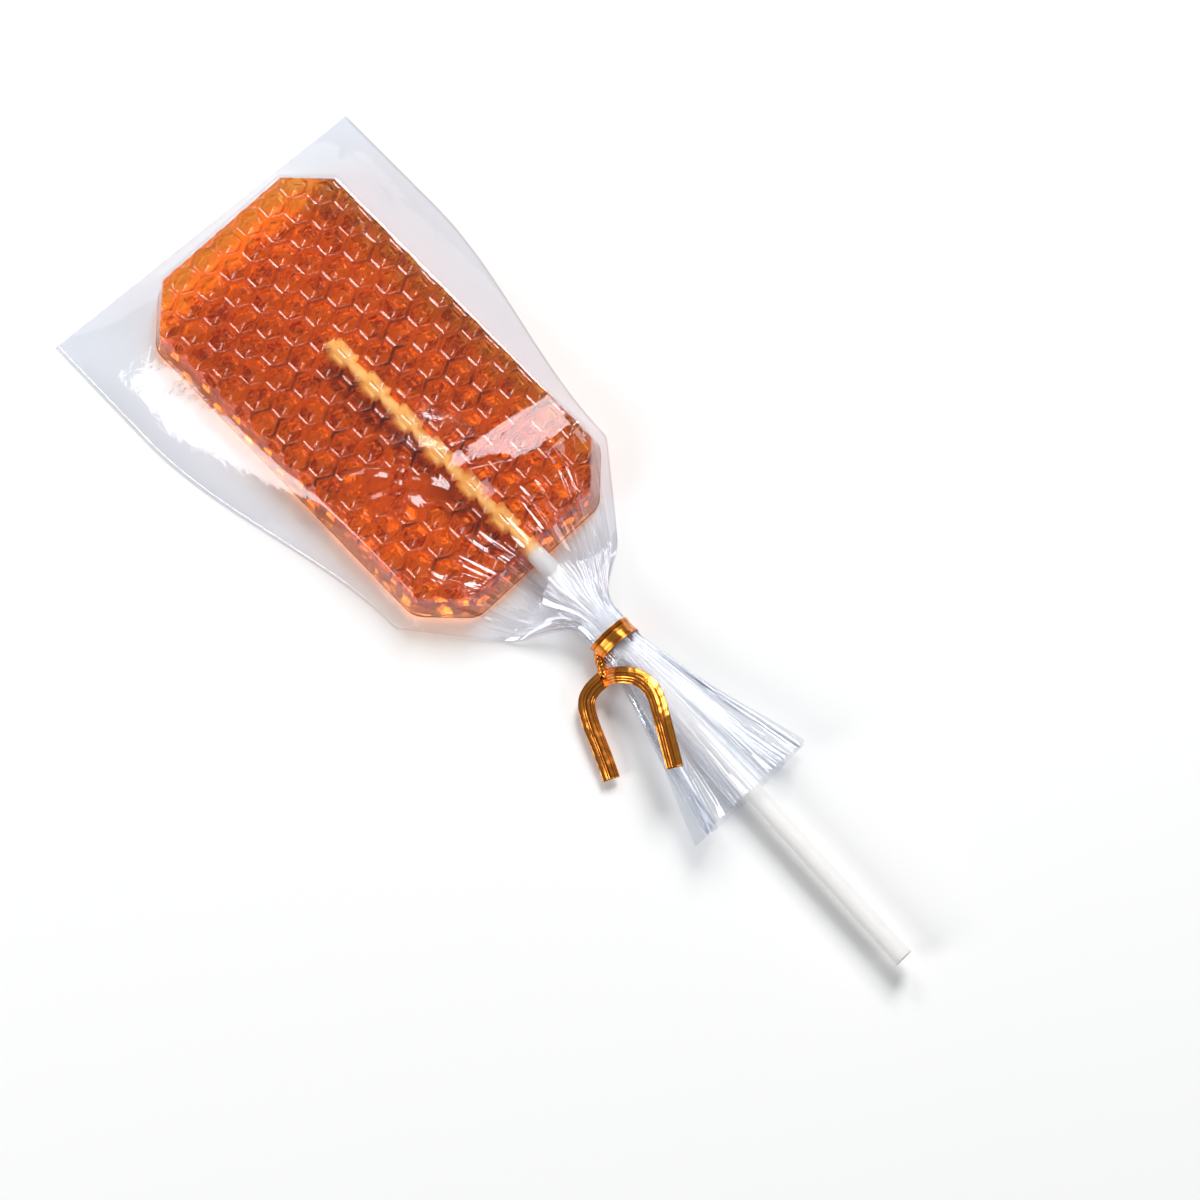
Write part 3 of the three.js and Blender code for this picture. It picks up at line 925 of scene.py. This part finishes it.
@dataclass(frozen=True)
class Stick:
    """The rolled paper stick: straight in the sweet, then bent a little to the left."""

    sweet: Sweet
    length: float = 152.4
    radius: float = 1.8
    buried: float = 55.4
    height: float = 4.7
    bend: float = 2.2  # degrees
    bend_length: float = 8.0
    ease: float = 0.25  # how far the rounding of an end reaches
    layer: float = 0.12  # step between the roll's layers at the foot
    seam_at: float = 1.1  # the seam's angle at the middle of the sweet, in radians
    seam_turn: float = 0.02  # how much it turns with each millimetre
    seam_width: float = 0.09
    seam_depth: float = 0.03  # as a share of the radius

    def x(self, y: Array) -> Array:
        """Where the stick's axis runs: a parabola over the bend, and straight lines on both sides of it.

        Args:
            y: Places along, in millimetres.

        Returns:
            Places across, in millimetres.
        """
        out = np.maximum(0, -self.sweet.end - y)
        bent = np.minimum(out, self.bend_length)
        return -math.tan(math.radians(self.bend)) * (bent**2 / (2 * self.bend_length) + out - bent)

    def shell(self) -> Shell:
        """A round bar with eased ends, the roll's layers at its foot, and a shallow seam that winds round it.

        The seam takes a bell curve of the angle from it off the radius.

        Returns:
            The closed bar.
        """
        top = self.buried - self.sweet.end
        foot = -self.sweet.end - (self.length - self.buried) * math.cos(math.radians(self.bend))
        main = np.linspace(foot + self.ease, top - self.ease, 150)
        shares = np.array((0.12, 0.3, 0.45, 0.6, 0.75, 0.88, 0.96))
        layers = (np.arange(len(shares)) % 2) * self.layer
        y = np.concatenate((foot + layers, main, np.full(len(shares), top)))
        share = np.concatenate((shares, np.ones(len(main)), shares[::-1]))
        angle = np.linspace(0, 2 * np.pi, 56, endpoint=False)
        seam = np.angle(np.exp(1j * (angle[None] - self.seam_at - y[:, None] * self.seam_turn)))
        groove = self.seam_depth * np.exp(-((seam / self.seam_width) ** 2))
        radius = self.radius * share[:, None] * (1 - groove)
        across, up = radius * np.cos(angle), radius * np.sin(angle)
        along = np.broadcast_to(y[:, None], up.shape)
        return swept(np.stack((self.x(y)[:, None] + across, along, self.height + up), -1))

    def build(self) -> None:
        """Makes the stick."""
        ride_root(self.shell().piece("paper_stick"), RolledPaper().material(), "stick")


@dataclass(frozen=True)
class Fold:
    """A raised fold of the film over the sweet, with a crest between two places and two sloping sides."""

    start: tuple[float, float]
    end: tuple[float, float]
    height: float
    left: float  # width of the side to the left of someone who walks from start to end
    right: float
    wave: float = 0.0  # how far the crest wanders to its sides

    def lift(self, x: Array, y: Array) -> Array:
        """How far the fold lifts the film: a rounded tent across it, which shrinks to its ends.

        Args:
            x: Places across, in millimetres.
            y: Places along, in millimetres.

        Returns:
            Lifts, in millimetres.
        """
        x0, y0 = self.start
        dx, dy = self.end[0] - x0, self.end[1] - y0
        span = dx**2 + dy**2
        along = ((x - x0) * dx + (y - y0) * dy) / span
        aside = ((y - y0) * dx - (x - x0) * dy) / math.sqrt(span) + self.wave * ripples(x, y, 15.0, 31)
        swell = smoothstep(along, 0.0, 0.35) * (1 - smoothstep(along, 0.75, 1.0))
        tent = np.minimum(swell - aside / self.left, swell + aside / self.right)
        return self.height * ramp(tent, 0.15) * smoothstep(swell, 0.0, 0.3)


@dataclass(frozen=True)
class Bag:
    """The clear bag: film over and under the sweet, gathered to a neck at the stick, with a loose tail."""

    sweet: Sweet
    stick: Stick
    over: float = 0.14  # from the comb's walls up to the film
    floor: float = 0.04
    edge: float = 0.25
    seal: float = 3.3
    seal_slope: float = 0.045
    right: tuple[float, float] = (33.4, 25.5)  # half widths at the sweet's far end and at its stick's end
    left: tuple[float, float] = (36.5, 27.2)
    hug: float = 0.4  # how far past the sweet's face the film stays level
    sag: float = 1.15  # power of the film's fall to its edge: above 1 it is hollow
    puff: float = 1.35  # and of the full round at the upper left
    clear_of_stick: float = 0.3
    clear_of_sweet: float = 0.06
    # Height, wavelength and draw of its ripples
    slack: tuple[tuple[float, float, int], ...] = ((0.05, 16.0, 11), (0.02, 6.0, 12))
    gather_from: float = 9.0
    neck_at: float = 20.6
    round_from: float = 14.0  # above the neck, where the film starts to close round the stick
    neck_radius: float = 2.75
    mouth_at: float = 57.5
    mouth_half_width: float = 11.6
    mouth_up: float = 6.2
    mouth_down: float = 4.3
    tie_width: float = 3.1
    crease_count: int = 60
    gathered_layers: float = 3.0  # how many layers of film lie together at the neck
    loose_from: tuple[float, float] = (4.0, 28.0)  # above the neck, where they part into one
    flare_over: float = 12.0  # below the neck, where they part again
    flare_part: float = 0.7  # and how far
    columns: tuple[int, int] = (220, 80)  # of the upper film and of the lower one
    folds: tuple[Fold, ...] = (
        Fold((-14.0, -24.5), (30.0, -33.5), 2.5, 8.5, 3.5, 0.5),
        Fold((-3.0, -22.0), (9.0, -29.0), 0.4, 1.2, 1.2),
        Fold((8.0, -46.0), (20.0, -31.0), 0.8, 1.4, 2.2),
        Fold((5.0, -50.0), (13.0, -35.0), 0.5, 1.0, 1.2),
        Fold((-2.0, -52.0), (-7.0, -36.0), 0.5, 1.0, 1.4),
        Fold((-7.0, -50.0), (-16.0, -35.0), 0.6, 1.2, 1.6),
    )

    @property
    def neck_y(self) -> float:
        """Where the tie gathers the film."""
        return -self.sweet.end - self.neck_at

    @property
    def mouth_y(self) -> float:
        """Where the loose tail ends."""
        return -self.sweet.end - self.mouth_at

    def half_width(self, y: Array, sizes: tuple[float, float]) -> Array:
        """Half width of the bag on one side: a smooth step beside the sweet, then straight to the neck.

        Args:
            y: Places along, in millimetres.
            sizes: Half widths at the sweet's far end and at its stick's end.

        Returns:
            Half widths, in millimetres.
        """
        far, near = sizes
        end = self.sweet.end
        beside = blend(near, far, smoothstep(y, self.sweet.corner_cut - end, end / 2))
        gathered = np.clip((y - self.neck_y) / (self.neck_at + self.gather_from), 0, 1)
        return blend(self.neck_radius, beside, gathered)

    def outside_face(self, x: Array, y: Array) -> Array:
        """How far a place is outside the sweet's face: 0 on it, else the distance to its outline.

        Beside a cut corner that is the distance to the nearest point of the cut, and else to an edge.

        Args:
            x: Places across, in millimetres.
            y: Places along, in millimetres.

        Returns:
            Distances, in millimetres.
        """
        half_width = self.sweet.width / 2 - self.sweet.draft
        half_length = self.sweet.end - self.sweet.draft
        cut = self.sweet.corner_cut - self.sweet.draft * (2 - math.sqrt(2))
        px, py = np.abs(x), np.abs(y)
        t = np.clip((half_width - px + py - half_length + cut) / (2 * cut), 0, 1)
        corner = np.hypot(px - half_width + t * cut, py - half_length + cut - t * cut)
        corner = np.where(px + py < half_width + half_length - cut, 0, corner)
        side = np.where(py < half_length - cut, np.maximum(px - half_width, 0), corner)
        return np.where(px < half_width - cut, np.maximum(py - half_length, 0), side)

    def upper(self, x: Array, y: Array, right: Array, left: Array) -> Array:
        """Height of the upper film.

        It is flat over the sweet and falls to the bag's edge: in a hollow line, or in a full round at
        the upper left. Folds and slow ripples lift it, and it stays above the sweet, the bee and the
        stick.

        Args:
            x: Places across, in millimetres.
            y: Places along, in millimetres.
            right: The bag's half width to the right of the middle there.
            left: The same to the left.

        Returns:
            Heights, in millimetres.
        """
        sweet = self.sweet
        outside = ramp(self.outside_face(x, y) - self.hug, 0.4)
        seal_y = sweet.end + self.seal - self.seal_slope * x
        inside = np.maximum(0, np.minimum(np.minimum(right - x, left + x), seal_y - y))
        fall = outside / (outside + inside + 1e-9)
        at_left = smoothstep(-x, sweet.width / 4, sweet.width / 2)
        at_far_end = smoothstep(y, -sweet.end * 0.7, 0.0)
        share = blend((1 - fall) ** self.sag, 1 - fall**self.puff, at_left * at_far_end)
        height = blend(self.edge, sweet.face + self.over, share)
        away = np.hypot(x - sweet.bee.x, y - sweet.bee.y)
        height += (sweet.bee.proud - self.over + 0.1) * (1 - smoothstep(away, 4.0, 20.0))
        lifts = sum(fold.lift(x, y) for fold in self.folds)
        slack = sum(high * (1 + ripples(x, y, length, seed)) for high, length, seed in self.slack)
        height += (lifts + slack) * (1 - smoothstep(fall, 0.5, 1.0))
        beside = np.maximum(0, np.abs(x - self.stick.x(y)) - self.stick.radius)
        held = self.stick.height + self.stick.radius + self.clear_of_stick - beside / 2
        height = np.where(y < sweet.draft - sweet.end, np.maximum(height, held), height)
        touching = sweet.block(x, y) + self.clear_of_sweet
        return np.maximum(height, np.where(sweet.inside(x, y) > 0, touching, 0))

    def pleats(self, angle: Array, flare: Array) -> Array:
        """Pleats of the gathered film: cosines of 9, 14 and 23 turns that wind with the flare.

        Args:
            angle: Angles round the stick, in radians.
            flare: From 0 at the tie to 1 at the mouth.

        Returns:
            Shares by which the film is pushed out or in.
        """
        depth = blend(0.1, 0.2, flare)
        wound = np.cos(9 * angle + 2.6 * flare) + 0.7 * np.cos(14 * angle - 1.9 * flare + 1.0)
        return depth * (wound + 0.5 * np.cos(23 * angle + 1.2 * flare + 2.2)) / 1.6

    def creases(self, angle: Array, y: Array) -> Array:
        """Fine creases that run up from the neck and die out over the sweet.

        Each is a tent over its own angle, of its own width and height, which fades at its own length.

        Args:
            angle: Angles round the stick, in radians.
            y: Places along, in millimetres.

        Returns:
            Lifts, in millimetres.
        """
        draw = np.random.default_rng(29)
        total = np.zeros(np.broadcast(angle, y).shape)
        for at in draw.uniform(0.15, np.pi - 0.15, self.crease_count):
            width, reach, height = draw.uniform(0.025, 0.06), draw.uniform(20, 46), draw.uniform(0.25, 0.8)
            peak = np.maximum(0, 1 - np.abs(angle - at) / width)
            total += height * peak * (1 - smoothstep(y, self.neck_y + reach * 0.3, self.neck_y + reach))
        return total

    def shell(self) -> Shell:
        """A tube of film: rings from the mouth to the far seal, each over the top and back below.

        Beside the sweet a ring is two flat films. From the sweet's end to the neck it turns into a
        pleated round, which flares again below the tie.

        Returns:
            The film, open at the mouth, with its layers.
        """
        end = self.sweet.end
        stations = np.concatenate((
            np.linspace(self.mouth_y, self.neck_y - 1, 64, endpoint=False),
            np.linspace(self.neck_y - 1, 4 - end, 66, endpoint=False),
            np.linspace(4 - end, end - 6, 128, endpoint=False),
            np.linspace(end - 6, end + self.seal, 24),
        ))
        y = stations[:, None]
        over, under = (np.linspace(0, 1, count, endpoint=False) for count in self.columns)
        angle = np.pi * np.concatenate((over, 1 + under))[None]
        across = np.concatenate((1 - 2 * over, 2 * under - 1))[None]
        is_upper = angle < np.pi
        right, left = self.half_width(y, self.right), self.half_width(y, self.left)
        flat_x = self.stick.x(y) + across * np.where(across > 0, right, left)
        flat_y = y - self.seal_slope * smoothstep(y, -end, end + self.seal) * flat_x
        last = np.arange(len(stations))[:, None] == len(stations) - 1
        at_edge = (np.abs(across) == 1) | last
        high = np.maximum(self.upper(flat_x, flat_y, right, left), self.floor)
        flat_z = np.where(is_upper & ~at_edge, high, self.floor)
        gathered = 1 - smoothstep(y, self.neck_y + self.tie_width, self.neck_y + self.round_from)
        below_tie = self.neck_y - self.tie_width
        flare = np.clip((below_tie - y) / (below_tie - self.mouth_y), 0, 1)
        pleat = 1 + self.pleats(angle, flare)
        half_width = blend(self.neck_radius, self.mouth_half_width, flare)
        half_height = blend(self.neck_radius, np.where(is_upper, self.mouth_up, self.mouth_down), flare)
        round_x = self.stick.x(y) + half_width * pleat * np.cos(angle)
        round_z = self.stick.height + half_height * np.minimum(pleat, 1.05) * np.sin(angle)
        crease = self.creases(angle, y) * is_upper * (1 - last)
        x = blend(flat_x, round_x, gathered) + crease * gathered * np.cos(angle)
        z = blend(flat_z, round_z, gathered) + crease * np.maximum(np.sin(angle), 1 - gathered)
        points = np.stack((x, blend(flat_y, y, gathered), np.maximum(z, self.floor)), -1)
        film = swept(points, closed_ends=False)
        loose = smoothstep(stations, *(self.neck_y + above for above in self.loose_from))
        flared = smoothstep(-stations, -self.neck_y, self.flare_over - self.neck_y) * self.flare_part
        together = blend(self.gathered_layers, 1.0, loose + flared)
        film.values[LAYERS] = np.repeat(together, sum(self.columns))
        return film

    def build(self) -> None:
        """Makes the film, closed at the far seal and open at the mouth."""
        ride_root(self.shell().piece("clear_film_bag", weld=True), ClearFilm().material(), "bag")


@dataclass(frozen=True)
class TwistTie:
    """The gold tie: a band round the neck, two strands wound together, and two loose tails."""

    bag: Bag
    width: float = 3.1
    thickness: float = 0.16
    wire: float = 0.36  # half width of the ridge that the wire makes
    ridge: float = 0.3
    roof: float = 0.2  # slope of the foil down from the wire on both sides
    crinkle: tuple[float, float] = (0.025, 1.7)  # height and wavelength of its crinkles
    curl: tuple[float, float] = (0.1, 7.0)  # and of its slow curl
    band_radius: float = 3.75
    band_sweep: float = 430.0  # degrees that the band goes round
    band_spread: float = 0.35  # how much further out its end lies than its start
    band_lean: float = 0.5
    strand_out: float = 0.5  # how far a strand of the twist lies from its axis
    strand_narrow: float = 0.45  # share of the full width of a strand's foil
    twist_reach: tuple[float, float, float] = (-2.3, -3.6, -0.4)
    twist_turns: float = 1.5
    tails: tuple[tuple[tuple[float, float, float], ...], ...] = (
        ((-4.8, -5.2, 3.4), (-2.7, -8.4, 5.2), (-2.6, -12.5, 6.2), (-5.0, -17.3, 6.6), (-9.2, -24.9, 5.4)),
        ((-9.2, -3.6, -1.0), (-11.4, -4.6, -1.4), (-13.2, -7.4, -1.8), (-15.8, -13.6, -2.2),
         (-17.6, -17.6, -2.6)),
    )

    def ribbon(self, path: Array, across: Array, seed: int, narrow: float = 1.0) -> Shell:
        """A foil ribbon along a path: a thin band with a wire ridge along its middle.

        Its section is a flat round with powers of cosine and sine, and the ridge is a bell curve.
        Ripples crinkle and curl it, and it slopes down from the wire like a roof.

        Args:
            path: Middle line, as rows.
            across: Which way the ribbon's width runs at each row.
            seed: Which draw of crinkles.
            narrow: Share of the full width.

        Returns:
            The closed ribbon.
        """
        tangent = normalised(np.gradient(path, axis=0))
        across = normalised(across - tangent * (across * tangent).sum(-1, keepdims=True))
        up = np.cross(tangent, across)
        around = np.linspace(0, 2 * np.pi, 30, endpoint=False)
        flat = np.sign(np.cos(around)) * np.abs(np.cos(around)) ** 0.8
        wide = flat * self.width / 2 * narrow
        side = np.sign(np.sin(around)) * np.abs(np.sin(around)) ** 0.4
        high = side * (self.thickness / 2 + self.ridge / 2 * np.exp(-((wide / self.wire) ** 2)))
        run = np.concatenate(([0], np.cumsum(np.linalg.norm(np.diff(path, axis=0), axis=1))))[:, None]
        crinkle, curl = self.crinkle, self.curl
        uneven = crinkle[0] * ripples(wide[None], run, crinkle[1], seed)
        uneven += curl[0] * ripples(wide[None] * 0.5, run, curl[1], seed + 1)
        roof = -self.roof * np.sqrt(wide**2 + 0.1)
        offset = high[None] + uneven + roof
        rings = path[:, None] + wide[None, :, None] * across[:, None] + offset[..., None] * up[:, None]
        tube = swept(rings)
        tube.values[STREAK] = np.concatenate((np.tile(wide + 3 * seed, len(path)), np.zeros(2)))
        return tube

    def shell(self) -> Shell:
        """All the tie's ribbons, about the middle of the neck.

        The band is a widening turn round it, the strands are two helices about one line, and each
        tail is a smooth curve from the end of that line.

        Returns:
            The ribbons as one shell.
        """
        neck = self.bag.neck_y
        middle = np.array((float(self.bag.stick.x(np.array(neck))), neck, self.bag.stick.height))
        rows = 90
        turn = np.linspace(np.radians(180), np.radians(180 + self.band_sweep), rows)
        radius = self.band_radius + np.linspace(0, self.band_spread, rows)
        lean = np.linspace(-self.band_lean, self.band_lean, rows)
        band = middle + np.stack((radius * np.cos(turn), lean, radius * np.sin(turn)), -1)
        shell = self.ribbon(band, np.tile((0.0, 1.0, 0.15), (rows, 1)), 40)
        start = middle + np.array((-self.band_radius - 0.2, 0.0, 0.0))
        end = start + np.array(self.twist_reach)
        up = np.array((0.0, 0.0, 1.0))
        axis = normalised(end - start)
        t = np.linspace(0, 1, 50)[:, None]
        for n, tail in enumerate(self.tails):
            wind = np.pi * n + 2 * np.pi * self.twist_turns * t
            out = np.cos(wind) * up + np.sin(wind) * np.cross(axis, up)
            strand = start + (end - start) * t + self.strand_out * out
            shell = shell.joined(self.ribbon(strand, np.cross(axis, out), 50 + n, self.strand_narrow))
            path = smooth_path(np.vstack((end, middle + np.array(tail))), 110)
            flat = np.cross(up, np.gradient(path, axis=0))
            shell = shell.joined(self.ribbon(path, flat, 60 + n))
        return shell

    def build(self) -> None:
        """Makes the tie."""
        ride_root(self.shell().piece("gold_foil_tie"), GoldFoil().material(), "twist_tie")


# The studio


@dataclass(frozen=True)
class Softbox:
    """An oblong soft lamp: which way it stands, its distance, width and height in mm, and its power."""

    name: str
    towards: tuple[float, float, float]
    distance: float
    width: float
    height: float
    watts: float

    def build(self) -> None:
        """Makes the lamp and points it at the sweet."""
        lamp = bpy.data.lights.new(self.name, "AREA")
        lamp.shape = "RECTANGLE"
        lamp.size = self.width * MM
        lamp.size_y = self.height * MM
        lamp.energy = self.watts
        thing = bpy.data.objects.new(self.name, lamp)
        direction = Vector(self.towards).normalized()
        thing.location = direction * self.distance * MM
        thing.rotation_euler = direction.to_track_quat("Z", "Y").to_euler()
        bpy.context.scene.collection.objects.link(thing)


@dataclass(frozen=True)
class Studio:
    """The pale floor, the soft lamps and the camera."""

    azimuth: float = -43.6
    elevation: float = 76.0
    distance: float = 604.0
    target: tuple[float, float, float] = (3.3, -55.85, 0.0)
    lens: float = 100.0
    floor_side: float = 4000.0
    room: str = "#e4e7ec"
    room_strength: float = 0.24
    lamps: tuple[Softbox, ...] = (
        Softbox("right_softbox", (0.56, 0.27, 0.78), 900.0, 280.0, 420.0, 6.5),
        Softbox("left_softbox", (-0.81, 0.17, 0.56), 900.0, 300.0, 420.0, 3.0),
        Softbox("far_softbox", (0.27, 0.66, 0.7), 900.0, 240.0, 200.0, 1.2),
        Softbox("near_softbox", (0.25, -0.8, 0.55), 900.0, 300.0, 300.0, 1.0),
    )

    def build(self) -> None:
        """Makes the floor, the room's light, the lamps and the camera."""
        half = self.floor_side / 2
        corners = np.array(((-half, -half, 0), (half, -half, 0), (half, half, 0), (-half, half, 0)))
        floor = Shell(corners, [[0, 1, 2, 3]]).piece("floor")
        floor.data.materials.append(WhiteCard().material())
        world = bpy.data.worlds.new("soft_room")
        bpy.context.scene.world = world
        world.use_nodes = True
        world.node_tree.nodes.clear()
        light = add_node(world.node_tree, "Background", Color=linear(self.room), Strength=self.room_strength)
        add_node(world.node_tree, "OutputWorld", Surface=light)
        for lamp in self.lamps:
            lamp.build()
        self.aim()
        log.info("studio: %d lamps", len(self.lamps))

    def aim(self) -> None:
        """Makes the camera, on a sphere round its target."""
        lens = bpy.data.cameras.new("camera")
        lens.lens = self.lens
        lens.sensor_width = 36
        lens.clip_start = 0.01
        camera = bpy.data.objects.new("camera", lens)
        turn, lift = math.radians(self.azimuth), math.radians(self.elevation)
        back = Vector((math.sin(turn) * math.cos(lift), -math.cos(turn) * math.cos(lift), math.sin(lift)))
        camera.location = (Vector(self.target) + back * self.distance) * MM
        camera.rotation_euler = back.to_track_quat("Z", "Y").to_euler()
        bpy.context.scene.collection.objects.link(camera)
        bpy.context.scene.camera = camera
        bpy.context.scene.view_settings.view_transform = "Standard"


def main() -> None:
    """Builds the studio, then the lollipop's parts in order."""
    logging.basicConfig(level=logging.INFO, format="%(name)s: %(message)s")
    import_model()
    sweet = Sweet()
    stick = Stick(sweet)
    bag = Bag(sweet, stick)
    Studio().build()
    sweet.build()
    stick.build()
    bag.build()
    TwistTie(bag).build()
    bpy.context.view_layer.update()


if __name__ == "__main__":
    main()
